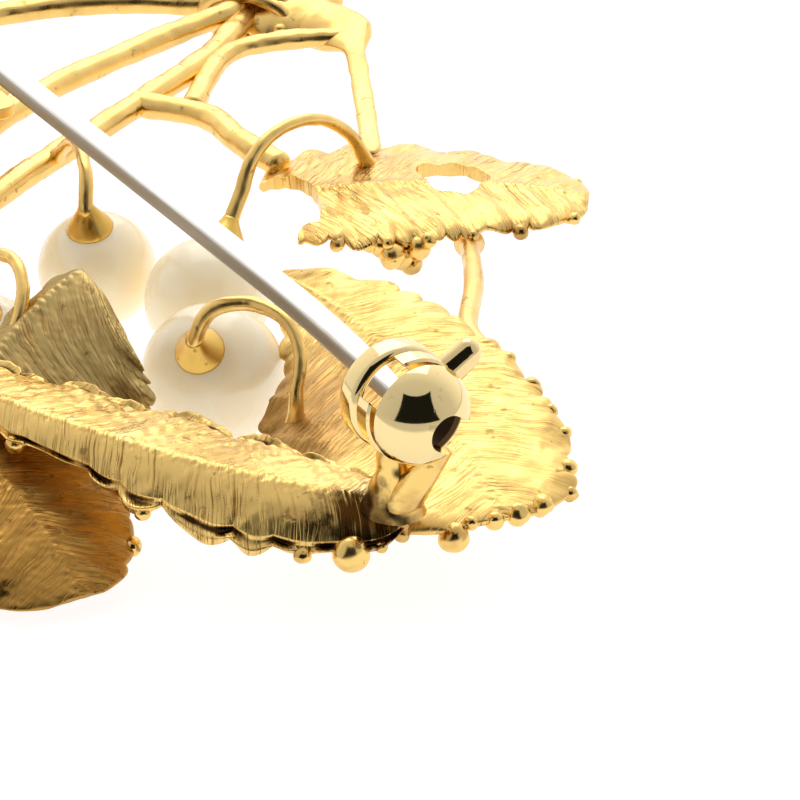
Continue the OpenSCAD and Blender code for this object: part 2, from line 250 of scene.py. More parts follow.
def cut(obj, cutter_verts, cutter_faces):
    """Subtracts a closed solid from a piece and applies the result."""
    mesh = bpy.data.meshes.new("cutter")
    mesh.from_pydata([tuple(v) for v in (np.asarray(cutter_verts, float) + PLACE) * MM], [], cutter_faces)
    tool = bpy.data.objects.new("cutter", mesh)
    bpy.context.scene.collection.objects.link(tool)
    edit = bmesh.new()
    edit.from_mesh(mesh)
    bmesh.ops.recalc_face_normals(edit, faces=edit.faces)
    edit.to_mesh(mesh)
    edit.free()
    mod = obj.modifiers.new("cut", "BOOLEAN")
    mod.operation = "DIFFERENCE"
    mod.solver = "EXACT"
    mod.object = tool
    bpy.context.view_layer.update()
    seen = obj.evaluated_get(bpy.context.evaluated_depsgraph_get())
    result = bpy.data.meshes.new_from_object(seen)
    obj.modifiers.remove(mod)
    old = obj.data
    obj.data = result
    bpy.data.meshes.remove(old)
    bpy.data.objects.remove(tool)
    return obj


# ---------------------------------------------------------------- materials
def feed(links, socket, value):
    """Gives a node's input a number or colour, or links another node's output to it."""
    if isinstance(value, bpy.types.NodeSocket):
        links.new(value, socket)
    else:
        socket.default_value = value


class Nodes:
    """A short way to write a material's node tree."""

    def __init__(self, name):
        self.mat = bpy.data.materials.new(name)
        self.mat.use_nodes = True
        self.tree = self.mat.node_tree
        self.tree.nodes.clear()
        self.out = self.tree.nodes.new("ShaderNodeOutputMaterial")

    def add(self, kind, settings=None, **inputs):
        node = self.tree.nodes.new("ShaderNode" + kind)
        for key, value in (settings or {}).items():
            setattr(node, key, value)
        for key, value in inputs.items():
            feed(self.tree.links, node.inputs[key.replace("_", " ")], value)
        return node

    def maths(self, kind, a, b=0.0):
        node = self.tree.nodes.new("ShaderNodeMath")
        node.operation = kind
        for socket, value in zip(node.inputs, (a, b)):
            feed(self.tree.links, socket, value)
        return node.outputs[0]

    def ramp(self, value, low, high, start=0.0, stop=1.0):
        node = self.add("MapRange", Value=value)
        for key, number in (("From Min", low), ("From Max", high), ("To Min", start), ("To Max", stop)):
            node.inputs[key].default_value = number
        return node.outputs[0]

    def mix(self, share, a, b):
        node = self.tree.nodes.new("ShaderNodeMix")
        node.data_type = "RGBA"
        for socket, value in ((node.inputs[0], share), (node.inputs[6], a), (node.inputs[7], b)):
            feed(self.tree.links, socket, value)
        return node.outputs[2]

    def noise(self, vector, scale, detail=3.0, rough=0.5):
        node = self.add("TexNoise", Vector=vector, Scale=scale, Detail=detail, Roughness=rough)
        return node.outputs["Fac"]

    def finish(self, shader):
        self.tree.links.new(shader.outputs[0], self.out.inputs["Surface"])
        return self.mat


# Painted shade: a near-black patch round where the catch's foot is soldered on, centred here, in mm.
FOOT_SHADE = (-2.5, -1.1, 4.4)
FOOT_SHADE_R = 1.5
# Painted shade on the leaf behind the catch, in mm.
CATCH_SHADE = (-12.0, 0.8, 4.4)
CATCH_SHADE_R = 3.6

YELLOW = (0.92, 0.62, 0.20)
PALE = (0.90, 0.70, 0.34)
OLIVE = (0.56, 0.40, 0.15)
# The low leaf's gold, darkened as painted shade.
SHADE_BROWN = (0.50, 0.27, 0.06)
AMBER = (0.78, 0.50, 0.12)
DEEP = (0.34, 0.16, 0.04)
FOOT_SHADE_COLOUR = (0.075, 0.03, 0.006, 1)


def gold_material(name, rough, base=YELLOW, shade=DEEP, engraved=False, grain=0.003, lump=0.012, tarnish=0.4,
                  foot_shade=0.0, pits=0.5, shade_at=0.0, bore=0.0):
    """Yellow gold with tarnish in patches and pits. grain and lump are bump heights in mm."""
    n = Nodes(name)
    place = n.add("TexCoord").outputs["Object"]
    broad = n.noise(place, 260.0, 4.0, 0.6)
    fine = n.noise(place, 2600.0, 3.0, 0.6)
    specks = n.noise(place, 1700.0, 2.0, 0.5)
    tarnish_and_shade = n.ramp(broad, 0.5, 0.68, 0.0, tarnish)
    # Painted shade: the leaf beside and below the catch is darkened in the colour, on top of the tarnish.
    if shade_at:
        near = n.add("VectorMath", {"operation": "DISTANCE"}, Vector=place)
        near.inputs[1].default_value = tuple((np.array(CATCH_SHADE) + PLACE) * MM)
        painted_catch_shade = n.ramp(n.maths("ADD", near.outputs["Value"], n.maths("MULTIPLY", broad, 3 * MM)),
                      (CATCH_SHADE_R + 0.5) * MM, (CATCH_SHADE_R + 4.5) * MM, shade_at, 0.0)
        tarnish_and_shade = n.maths("MAXIMUM", tarnish_and_shade, painted_catch_shade)
    height = n.maths("ADD", n.maths("MULTIPLY", fine, grain), n.maths("MULTIPLY", broad, lump))
    hole = n.ramp(specks, 0.66, 0.72, 0.0, pits)
    height = n.maths("SUBTRACT", height, n.maths("MULTIPLY", hole, 0.01))
    colour = n.mix(tarnish_and_shade, (*base, 1), (*shade, 1))
    colour = n.mix(hole, colour, (0.16, 0.07, 0.02, 1))
    gloss = n.ramp(n.noise(place, 900.0, 3.0, 0.6), 0.3, 0.7, rough * 0.7, rough * 1.5)
    if engraved:
        uv = n.add("UVMap", {"uv_map": "strokes"}).outputs["UV"]
        parts = n.add("SeparateXYZ", Vector=uv)
        # Strokes leave the spine at a slant: fine across their run, long along it.
        lean = n.maths("MULTIPLY", n.maths("ABSOLUTE", parts.outputs["Y"]), 0.55)
        drift = n.noise(place, 300.0, 2.0, 0.5)
        across = n.maths("ADD", n.maths("SUBTRACT", parts.outputs["X"], lean), drift)
        line_place = n.add("CombineXYZ", X=n.maths("MULTIPLY", across, 8.0),
                           Y=n.maths("MULTIPLY", parts.outputs["Y"], 0.5), Z=0.0).outputs[0]
        lines = n.noise(line_place, 1.0, 2.0, 0.6)
        cuts = n.ramp(lines, 0.40, 0.50, 0.0, 1.0)
        worn = n.ramp(n.noise(place, 190.0, 3.0, 0.6), 0.40, 0.58, 0.2, 1.0)
        height = n.maths("ADD", height, n.maths("MULTIPLY", n.maths("MULTIPLY", cuts, 0.026), worn))
        colour = n.mix(n.maths("MULTIPLY", n.ramp(lines, 0.34, 0.42, 0.95, 0.0), worn), colour, (*shade, 1))
        # Painted shade in the hollows: where the relief sinks deepest, the colour goes near-black in patches.
        hollow = n.add("Attribute", {"attribute_name": "hollow"}).outputs["Fac"]
        painted_groove_shade = n.maths("MULTIPLY", hollow, n.ramp(broad, 0.35, 0.55, 0.4, 1.0))
        colour = n.mix(n.ramp(painted_groove_shade, 0.1, 0.6), colour, (0.07, 0.03, 0.01, 1))
    # Painted shade round the catch's foot: the colour goes near-black, less so on the raised strokes.
    if foot_shade:
        where = tuple((np.array(FOOT_SHADE) + PLACE) * MM)
        far = n.add("VectorMath", {"operation": "DISTANCE"}, Vector=place)
        far.inputs[1].default_value = where
        ragged = n.maths("MULTIPLY", n.noise(place, 900.0, 4.0, 0.7), 3.0 * MM)
        painted_foot_shade = n.ramp(n.maths("ADD", far.outputs["Value"], ragged),
                       (FOOT_SHADE_R + 1.2) * MM, (FOOT_SHADE_R + 2.2) * MM, foot_shade, 0.0)
        if engraved:
            painted_foot_shade = n.maths("MULTIPLY", painted_foot_shade, n.ramp(lines, 0.5, 0.62, 1.0, 0.25))
        colour = n.mix(painted_foot_shade, colour, FOOT_SHADE_COLOUR)
    if bore:
        # Painted shade inside the turned ring: its bore is darkened in the colour and made rougher.
        centre = n.add("VectorMath", {"operation": "SUBTRACT"}, Vector=place)
        centre.inputs[1].default_value = tuple((np.array((0, 0, AXIS_Z)) + PLACE) * MM)
        across = n.add("VectorMath", {"operation": "MULTIPLY"}, Vector=centre.outputs[0])
        across.inputs[1].default_value = (0, 1, 1)
        out = n.add("VectorMath", {"operation": "LENGTH"}, Vector=across.outputs[0]).outputs["Value"]
        inside = n.ramp(out, (CATCH_R - WALL - 0.12) * MM, (CATCH_R - WALL - 0.02) * MM, bore, 0.0)
        colour = n.mix(inside, colour, (0.05, 0.02, 0.006, 1))
        gloss = n.maths("ADD", gloss, n.maths("MULTIPLY", inside, 0.3))
    bump = n.add("Bump", Height=n.maths("MULTIPLY", height, MM), Strength=1.0, Distance=1.0)
    shader = n.add("BsdfPrincipled", Metallic=1.0, Base_Color=colour, Roughness=gloss, Normal=bump.outputs[0])
    return n.finish(shader)


def white_gold_material():
    """Drawn wire: fine scratches and grey streaks along X, and painted shade on the faces that turn
    downwards.
    """
    n = Nodes("white_gold")
    place = n.add("TexCoord").outputs["Object"]
    long = n.add("Mapping", Vector=place, Scale=(90.0, 2600.0, 2600.0)).outputs[0]
    streak = n.noise(long, 1.0, 4.0, 0.7)
    patch = n.noise(place, 420.0, 3.0, 0.5)
    colour = n.mix(n.ramp(streak, 0.35, 0.65), (0.74, 0.69, 0.61, 1), (0.90, 0.87, 0.81, 1))
    colour = n.mix(n.ramp(patch, 0.58, 0.75, 0.0, 0.5), colour, (0.55, 0.44, 0.30, 1))
    # Painted shade: faces that turn downwards are darkened towards brown-grey.
    facing = n.add("SeparateXYZ", Vector=n.add("NewGeometry").outputs["Normal"]).outputs["Z"]
    colour = n.mix(n.ramp(facing, 0.75, 0.35, 0.0, 0.8), colour, (0.24, 0.20, 0.15, 1))
    gloss = n.ramp(streak, 0.3, 0.7, 0.5, 0.34)
    bump = n.add("Bump", Height=n.maths("MULTIPLY", streak, 0.012 * MM), Strength=1.0, Distance=1.0)
    shader = n.add("BsdfPrincipled", Metallic=1.0, Base_Color=colour, Roughness=gloss, Normal=bump.outputs[0])
    return n.finish(shader)


def pearl_material():
    """Cultured pearl: cream nacre, faint clouds and ripples, a warm sheen, a soft gloss coat and a faint
    painted warm glow.
    """
    n = Nodes("pearl")
    place = n.add("TexCoord").outputs["Object"]
    cloud = n.noise(place, 240.0, 3.0, 0.55)
    body = n.mix(n.ramp(cloud, 0.35, 0.7), (0.97, 0.82, 0.55, 1), (0.97, 0.88, 0.70, 1))
    bump = n.add("Bump", Height=n.maths("MULTIPLY", n.noise(place, 1500.0, 3.0, 0.6), 0.004 * MM),
                 Strength=1.0, Distance=1.0)
    gloss = n.ramp(cloud, 0.3, 0.7, 0.2, 0.34)
    shader = n.add("BsdfPrincipled", Base_Color=body, Roughness=gloss, Normal=bump.outputs[0])
    # The emission is painted light: a faint warm glow of the pearl's own.
    for socket, value in (("Subsurface Weight", 0.35), ("Subsurface Radius", (1.0, 0.75, 0.45)),
                          ("Subsurface Scale", 1.2 * MM), ("Coat Weight", 0.6), ("Coat Roughness", 0.14),
                          ("Coat IOR", 1.7), ("Sheen Weight", 0.3), ("Sheen Tint", (1.0, 0.80, 0.5, 1)),
                          ("Emission Color", (1.0, 0.80, 0.48, 1)), ("Emission Strength", 0.12)):
        shader.inputs[socket].default_value = value
    return n.finish(shader)


def floor_material():
    """A white light table: glowing under the brooch, fading to grey further off."""
    n = Nodes("pale_paper")
    place = n.add("TexCoord").outputs["Object"]
    tone = n.noise(place, 8.0, 2.0, 0.5)
    colour = n.mix(tone, (0.93, 0.93, 0.93, 1), (0.96, 0.96, 0.96, 1))
    far = n.add("VectorMath", {"operation": "LENGTH"}, Vector=place).outputs["Value"]
    fade = n.ramp(far, 178 * MM, 190 * MM, 0.0, 1.0)
    lit = n.mix(fade, colour, (0.5, 0.5, 0.5, 1))
    base = n.mix(fade, (0.30, 0.30, 0.30, 1), (0.25, 0.25, 0.25, 1))
    shader = n.add("BsdfPrincipled", Base_Color=base, Roughness=0.9, Emission_Color=lit)
    shader.inputs["Emission Strength"].default_value = 0.93
    return n.finish(shader)


POLISHED = dict(base=PALE, shade=(0.6, 0.34, 0.12), grain=0.0008, lump=0.003, tarnish=0.2, pits=0.2)
GOLDS = {
    "leaf_gold": dict(rough=0.26, engraved=True, tarnish=0.45, foot_shade=0.96),
    "leaf_gold_amber": dict(rough=0.34, engraved=True, tarnish=0.35, shade_at=0.75),
    "leaf_gold_olive": dict(rough=0.36, base=OLIVE, engraved=True, tarnish=0.3),
    # The low leaf's finish: a darker copy of the leaf gold, as painted shade.
    "leaf_gold_shaded": dict(rough=0.34, base=SHADE_BROWN, engraved=True, tarnish=0.6),
    "granule_gold": dict(rough=0.2, lump=0.03, tarnish=0.8, pits=0.7),
    "wire_gold": dict(rough=0.28, lump=0.015, tarnish=0.3),
    "foot_gold": dict(rough=0.2, lump=0.03, tarnish=0.7, foot_shade=0.85),
    "cup_gold": dict(rough=0.3, base=AMBER, lump=0.01, tarnish=0.3),
    "polished_gold": dict(POLISHED, rough=0.07),
    "rotor_gold": dict(POLISHED, rough=0.09, bore=0.97),
}
MATERIALS = {name: gold_material(name, **look) for name, look in GOLDS.items()}
MATERIALS["white_gold"] = white_gold_material()
MATERIALS["pearl"] = pearl_material()

# ---------------------------------------------------------------- leaves
LEAF_T = 0.7
TIP_W = 0.35
# Pairs are (right, left) seen from base to tip. Spines, folds and teeth follow the part's source, and
# some outlines were then reshaped here. rows and cols set the mesh's fineness.
LEAVES = {
    "catch_leaf": dict(
        spine=[(-27, -13.5, 5.4), (-19, -11, 6.2), (-8, -8, 6.2), (-2.2, 0.8, 5)],
        half=(2.6, 3.7), fold=(25, 4), curl=(44, 8), roll=(0, 0), widest=(4.4, 1.6), full=0.5,
        teeth=14, rows=560, cols=120, rib=0.02, slant=0.05, tooth=0.7, ledge=0.26,
        ridge=0.03, seed=11),
    "broad_leaf": dict(
        spine=[(-22.5, 6, 4.9), (-16, 6.5, 5.7), (-8, 5.6, 5.8), (-0.8, 4.2, 4)],
        half=(6.4, 4.3), fold=(0, -4), curl=(8, 12), roll=(24, 0), widest=(2.7, 2.2), full=0.36,
        teeth=14, rows=440, cols=130, rib=0.03, slant=0.10, tooth=0.4, ridge=0.05, seed=12,
        bulge=(-1, 0.52, 0.14, 1.3), finish="leaf_gold_amber"),
    "fan_leaf": dict(
        spine=[(-29, 8.6, 5.3), (-27, 12, 5.8), (-26, 17, 5.7), (-22.4, 22, 4.8)],
        half=(4.6, 6.2), fold=(2, 3), curl=(6, 8), roll=(0, 0), widest=(0.75, 0.68), full=0.4,
        teeth=14, rows=360, cols=130, rib=0.05, slant=0.10, tooth=0.4, seed=13),
    "low_leaf": dict(
        spine=[(-25, -15, 5), (-18, -12, 5.7), (-13.2, -10, 4), (-8, -10.4, 1.15)],
        half=(4.6, 4.1), fold=(8, -4), curl=(10, 14), roll=(0, 0), widest=(2.2, 1.9), full=0.45,
        teeth=14, rows=360, cols=110, rib=0.03, slant=0.12, tooth=0.4, ridge=0.05, seed=14,
        finish="leaf_gold_shaded"),
    "upright_leaf": dict(
        spine=[(-18.6, -10.4, 4.4), (-20.2, -8.6, 5.4), (-21.4, -6, 6.8), (-21.2, -3.6, 8)],
        half=(6.9, 1.8), fold=(14, 20), curl=(10, 14), roll=(0, 0), widest=(0.85, 0.8),
        full=0.38, teeth=10, rows=300, cols=110, rib=0.02, slant=-0.42, tooth=0.35, seed=15,
        grooves=26, groove=0.022, lean=-1, finish="leaf_gold_olive"),
    "side_leaf": dict(
        spine=[(-35, -6, 5.6), (-33, -11, 6.6), (-30, -16, 5), (-27.5, -21, 0.75)],
        half=(4.6, 4.2), fold=(12, 12), curl=(14, 14), roll=(0, 0), widest=(1, 1), full=0.65,
        teeth=14, rows=340, cols=100, rib=0.06, slant=0.12, tooth=0.4, seed=16),
    "hinge_leaf": dict(
        spine=[(-46, 4.5, 6.1), (-45.5, -2, 7.4), (-45.5, -9, 6), (-44, -17, 0.75)],
        half=(5, 5), fold=(8, 10), curl=(14, 14), roll=(0, 0), widest=(1, 1), full=0.6,
        teeth=16, rows=380, cols=110, rib=0.06, slant=0.12, tooth=0.4, seed=17),
}


def per_side(pair, s):
    return np.where(s < 0, pair[0], pair[1])


def lobes(leaf, t, side):
    """Rounded, uneven teeth along one edge: 0 in the notches, about 1 at the teeth."""
    rng = np.random.default_rng(leaf["seed"] * 7 + side)
    n = leaf["teeth"]
    size = rng.uniform(0.3, 1.5, n + 2)
    at = t * n + 0.22 * np.sin(2 * math.pi * (t * n * 0.37 + rng.uniform()))
    which = np.clip(np.floor(at).astype(int), 0, n)
    inside = at - np.floor(at)
    lobe = np.sin(math.pi * np.clip(inside, 0, 1)) ** 0.7
    return lobe * size[which]


def leaf_surface(leaf, t, s, down=0.0):
    """Points of a leaf's back: t from base to tip, s from -1 at the right edge to 1 at the left."""
    t, s = np.broadcast_arrays(t, s)
    mid = bezier(leaf["spine"], t)
    way = bezier_way(leaf["spine"], t)
    side_flat = unit(np.cross(UP, way))
    up_flat = np.cross(way, side_flat)
    roll = np.radians(leaf["roll"][0] + (leaf["roll"][1] - leaf["roll"][0]) * t)[..., None]
    side = np.cos(roll) * side_flat + np.sin(roll) * up_flat
    up = np.cos(roll) * up_flat - np.sin(roll) * side_flat
    far = np.abs(s)
    base = np.maximum(np.sin(math.pi * t ** per_side(leaf["widest"], s)), 0) ** leaf["full"]
    edge = np.where(s < 0, lobes(leaf, t, 0), lobes(leaf, t, 1))
    w = TIP_W + (per_side(leaf["half"], s) - TIP_W) * base
    if "bulge" in leaf:
        side_sign, at, spread, extra = leaf["bulge"]
        w = w + extra * np.exp(-(((t - at) / spread) ** 2)) * (np.sign(s) == side_sign)
    w = w + leaf["tooth"] * (edge - 0.5) * far**4 * np.clip(base / 0.6, 0, 1)
    tip_down = np.radians(per_side(leaf["fold"], s) + per_side(leaf["curl"], s) * far / 2)
    return (mid + side * (s * w * np.cos(tip_down))[..., None]
            - up * (far * w * np.sin(tip_down) + down)[..., None])


def leaf_relief(leaf, t, s, points):
    """How far the surface stands out: veins, a raised spine, a ledge inside the rim and cast unevenness."""
    far = np.abs(s)
    along = t - leaf["slant"] * far
    ribs = leaf["rib"] * np.cos(2 * math.pi * (leaf["teeth"] * along - 0.5))
    ribs = ribs * np.sin(math.pi * far**0.7) ** 0.6
    grooves = leaf.get("groove", 0) * np.cos(2 * math.pi * leaf.get("grooves", 1) * along) * (far < 0.93)
    spine = leaf.get("ridge", 0.12) * np.exp(-((far / 0.06) ** 2)) * (1 - t) ** 0.5
    crest = 0.03 * wobble(points, 0.3, leaf["seed"] + 20) * np.exp(-((far / 0.10) ** 2))
    rim = np.exp(-(((far - 0.95) / 0.05) ** 2)) - 0.6 * np.clip((far - 0.80) / 0.05, 0, 1)
    ledge = leaf.get("ledge", 0) * rim * (1 + 0.9 * wobble(points, 1.3, leaf["seed"] + 70))
    cast = 0.025 * wobble(points, 2.2, leaf["seed"]) + 0.010 * wobble(points, 0.5, leaf["seed"] + 50)
    pits = -0.05 * np.clip(wobble(points, 0.55, leaf["seed"] + 90) - 0.75, 0, 1) * far
    rough_wing = 0.05 * wobble(points, 0.45, leaf["seed"] + 80) * np.clip(s * 2, 0, 1) * ("ledge" in leaf)
    ruffle = 0.16 * far**3 * np.sin(2 * math.pi * (leaf["teeth"] / 2.3 * t + 0.3 * leaf["seed"]))
    ruffle = ruffle + 0.12 * wobble(points, 1.4, leaf["seed"] + 60) * far**4
    return ribs + grooves + spine + crest + ledge + cast + pits + rough_wing, ruffle


def make_leaf(name, openings=()):
    leaf = LEAVES[name]
    rows, cols = leaf["rows"], leaf["cols"]
    t = np.linspace(0.004, 0.996, rows)[:, None]
    s = np.sin(np.linspace(-1, 1, cols) * math.pi / 2)[None, :]
    t, s = np.broadcast_arrays(t, s)
    mid = leaf_surface(leaf, t, s, LEAF_T / 2)
    along = np.gradient(mid, axis=0)
    across = np.gradient(mid, axis=1)
    normal = unit(np.cross(along, across))
    ends = np.clip(1 - np.abs(2 * t - 1) ** 14, 0, 1) ** 0.5
    half = 0.5 * 0.86 * LEAF_T * np.clip(1 - np.abs(s) ** 8, 0, 1) ** 0.5 * ends
    relief, ruffle = leaf_relief(leaf, t, s, mid)
    open_edge = np.clip(half / (0.2 * LEAF_T), 0, 1)
    mid = mid + normal * (ruffle * ends)[..., None]
    back = mid + normal * (half + relief * open_edge)[..., None]
    front = mid - normal * (half + 0.8 * relief * open_edge)[..., None]
    verts = np.vstack([back.reshape(-1, 3), front.reshape(-1, 3)])
    faces = grid_faces(rows, cols) + grid_faces(rows, cols, first=rows * cols, flip=True)
    # Close the two short ends; the long edges meet because the thickness runs out there.
    for i in (0, rows - 1):
        for j in range(cols - 1):
            a, b = i * cols + j, i * cols + j + 1
            faces.append((a, b, b + rows * cols, a + rows * cols))
    # Painted shade: how deep each point lies goes to the material, which darkens the hollows.
    depth = np.tile(np.clip(-relief / 0.12 - 0.4, 0, 1).ravel(), 2)
    obj = mesh_object(name + "_blade", verts, faces, "leaf_gold", finish=leaf.get("finish"), hollow=depth)
    for outline in openings:
        cut_opening(obj, leaf, outline)
    stroke_map(obj, leaf)
    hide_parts(name)


def oval(t, s, long, wide, steps=40):
    """An uneven oval outline on a leaf, as (t, s, out from the base in mm)."""
    ring = []
    for a in np.arange(steps) * 2 * math.pi / steps:
        r = 1 + 0.10 * math.sin(3 * a) + 0.06 * math.sin(5 * a + 1)
        ring.append((t + r * long * math.cos(a), s + r * wide * math.sin(a), 0.0))
    return ring


def cut_opening(obj, leaf, outline):
    """Cuts a closed outline of (t, s, out) points through a leaf."""
    ring = []
    for t, s, out in outline:
        way = bezier_way(leaf["spine"], t)
        ring.append(leaf_surface(leaf, np.array(float(t)), np.array(float(s)), LEAF_T / 2) - way * out)
    ring = np.array(ring)
    n = len(ring)
    verts = np.vstack([ring - 2 * UP, ring + 2 * UP])
    cut(obj, verts, drum_faces(n))


def stroke_map(obj, leaf):
    """A map of the leaf in mm, along and across its spine, for the engraved strokes."""
    steps = np.linspace(0, 1, 400)
    line = bezier(leaf["spine"], steps)
    way = bezier_way(leaf["spine"], steps)
    side = unit(np.cross(UP, way))
    run = np.concatenate([[0], np.cumsum(np.linalg.norm(np.diff(line, axis=0), axis=1))])
    co = np.zeros(len(obj.data.vertices) * 3)
    obj.data.vertices.foreach_get("co", co)
    co = co.reshape(-1, 3) / MM - PLACE
    near = np.empty(len(co), int)
    for start in range(0, len(co), 20000):
        part = co[start:start + 20000, None, :2] - line[None, :, :2]
        near[start:start + 20000] = np.argmin((part**2).sum(-1), axis=1)
    off = co - line[near]
    u = (run[near] + (off * way[near]).sum(-1)) * leaf.get("lean", 1)
    v = (off * side[near]).sum(-1)
    layer = obj.data.uv_layers.new(name="strokes")
    loops = np.zeros(len(obj.data.loops), int)
    obj.data.loops.foreach_get("vertex_index", loops)
    layer.data.foreach_set("uv", np.stack([u[loops], v[loops]], -1).ravel())


# ---------------------------------------------------------------- granules
def ball(centre, r, seed, rough=0.13, cuts=5):
    """Points and faces of one uneven cast granule."""
    edit = bmesh.new()
    bmesh.ops.create_icosphere(edit, subdivisions=cuts, radius=1.0)
    pts = np.array([v.co for v in edit.verts])
    faces = [tuple(v.index for v in f.verts) for f in edit.faces]
    edit.free()
    lump = 1 + rough * wobble(pts, 2.4, seed) + rough / 6 * wobble(pts, 0.9, seed + 1)
    return np.asarray(centre) + pts * lump[:, None] * r, faces


def make_granules(name, leaf_name, rows, extra=()):
    """Granules melted onto a leaf's teeth.

    rows are (side, first tooth, last tooth, step, radius), extra are (t, s, down, radius).
    """
    leaf = LEAVES[leaf_name]
    rng = random.Random(leaf["seed"])
    places = list(extra)
    for side, first, last, step, radius in rows:
        for k in range(first, last + 1, step):
            t = (k + 0.5 + rng.uniform(-0.15, 0.15)) / leaf["teeth"]
            down = LEAF_T / 2 + rng.uniform(-0.05, 0.2)
            places.append((t, side * 0.97, down, radius * rng.uniform(0.8, 1.15)))
    beads = []
    for t, s, down, r in places:
        p = leaf_surface(leaf, np.array(float(t)), np.array(float(s)), down)
        beads.append(ball(p, r, rng.randrange(10000)))
    obj = mesh_object(name.replace("granules", "beads"), *joined(beads), "granule_gold")
    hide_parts(name)


# ---------------------------------------------------------------- stems
GATHER = np.array([-48.5, 18, 5.6])
STEMS = {
    "stem_outer": [(-52.5, 21, 5), GATHER + (0, 0.6, 0), (-52.2, 12.5, 5.6), (-53.4, 7, 5.6), (-52, 1, 5.6),
                   (-47.6, -4.4, 5.6)],
    "stem_hinge": [(-51.4, 22, 5), GATHER + (0.8, 0.2, 0.3), (-46.2, 13, 5.8), (-43.6, 6.5, 5.9),
                   (-40.4, 1.2, 6.05), (-37.2, -3.4, 5.8), (-34.6, -7, 5.5)],
    "stem_inner": [(-50.2, 22.6, 5), GATHER + (1.6, -0.2, 0), (-43.2, 13.6, 5.6), (-38.8, 6, 5.5),
                   (-33.8, -2.4, 5.4), (-26.6, -13, 5)],
    "stem_fan": [(-40.3, 8.4, 5.5), (-37.2, 10.4, 5.6), (-34, 10.5, 5.5), (-31.4, 11, 5.3)],
    "stem_top": [(-49.2, 23, 5), GATHER + (2.2, 0.8, 0), (-44.8, 20.2, 5.6), (-41.8, 20.6, 5.6),
                 (-36.8, 18.4, 5.7), (-31, 15.6, 5.3)],
    "bridge_rod_near": [(-10.8, 9.4, 5.2), (-13, 9.9, 5.3), (-17, 12.6, 4.9), (-22, 15.4, 4.1)],
    "bridge_rod_far": [(-42.2, 20.8, 5.6), (-43.2, 17.6, 5.7), (-43, 14.4, 5.6), (-38.8, 10.6, 5.5)],
}
STEM_R = {"bridge_rod_near": 0.42, "bridge_rod_far": 0.56, "stem_fan": 0.66, "stem_top": 1.3}


def make_stems():
    """Cast twigs. The top one is a broad flat band; the near rod is drawn wire."""
    for k, (name, points) in enumerate(STEMS.items()):
        route = smooth_route(points, 26)
        radii = np.full(len(route), STEM_R.get(name, 0.66))
        across, squash, rough = UP, 0.85, 0.045
        if name == "stem_top":
            across, squash = (0.55, -0.35, 1.0), 0.42
            broad = np.clip((0.68 - np.linspace(0, 1, len(route))) / 0.12, 0, 1)
            radii = 0.48 + 0.95 * broad * broad * (3 - 2 * broad)
        if name == "bridge_rod_near":
            squash, rough = 1.0, 0.015
            ends = np.abs(np.linspace(-1, 1, len(route)))
            radii = radii * (1 + 0.6 * np.clip((ends - 0.86) / 0.14, 0, 1) ** 1.5)
        obj = tube(name + "_cast", route, radii, across, "wire_gold", sides=32, rough=rough, pitch=2.4,
                   seed=30 + k, squash=squash)
        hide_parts(name)


def make_binding():
    """Wire wound three times round the gathered stems."""
    way = unit(np.array([0.55, -0.83, 0]))
    side = np.cross(UP, way)
    a = np.linspace(0, 6 * math.pi, 200)
    mid = GATHER + (1.1, 0.25, 0)
    route = (mid + np.outer(a / (2 * math.pi) * 0.75 - 1.1, way)
             + np.outer(2.2 * np.cos(a), side) + np.outer(1.05 * np.sin(a), UP))
    obj = tube("binding_wire", route, 0.33, way, "wire_gold", sides=16, rough=0.015, seed=60)
    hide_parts("stem_binding")


# ---------------------------------------------------------------- pearls
WIRE_R = 0.3
CUP_R = 1.0
PEARLS = [
    ((-18.5, 0.9, 3), 3.0, (0.5, -0.46, 0.73), [(-16.3, -0.2, 7.2), (-15.4, 1.2, 7.5), (-13.6, 1.8, 7.3),
                                               (-12.4, 1.7, 6.4), (-11.8, 1.2, 5.2), (-11.6, 1, 3.8)]),
    ((-25.4, 4.2, 2.7), 2.7, (-0.3, 0.5, 0.8), [(-26.9, 6.8, 6.6), (-27.3, 7.6, 7.9), (-27.8, 9.2, 8.7),
                                               (-28.4, 11.4, 8.5), (-29, 13.4, 7.1), (-29.35, 14.7, 4.8)]),
    ((-30.8, 1.6, 2.6), 2.6, (0.2, -0.21, 0.96), [(-31.2, 1.4, 7.4), (-34, 2.2, 7.4), (-36.4, 2.4, 5.6)]),
    ((-26.2, -6, 2.5), 2.5, (0.3, -0.2, 0.93), [(-25.4, -6.2, 7.2), (-23.6, -5.6, 7.8), (-21.8, -6, 7),
                                               (-20.8, -7.2, 5.2)]),
    ((-37.7, -6.3, 2.5), 2.5, (0.1, 0.2, 0.97), [(-37.2, -5.3, 6.6), (-36.7, -4.6, 6.6), (-36.4, -4.4, 5.7)]),
]


def turned(points, way, place):
    """Points made along Z, turned to lie along a direction and moved to a place."""
    q = Vector((0, 0, 1)).rotation_difference(Vector(way))
    m = np.array(q.to_matrix())
    return points @ m.T + np.asarray(place, float)


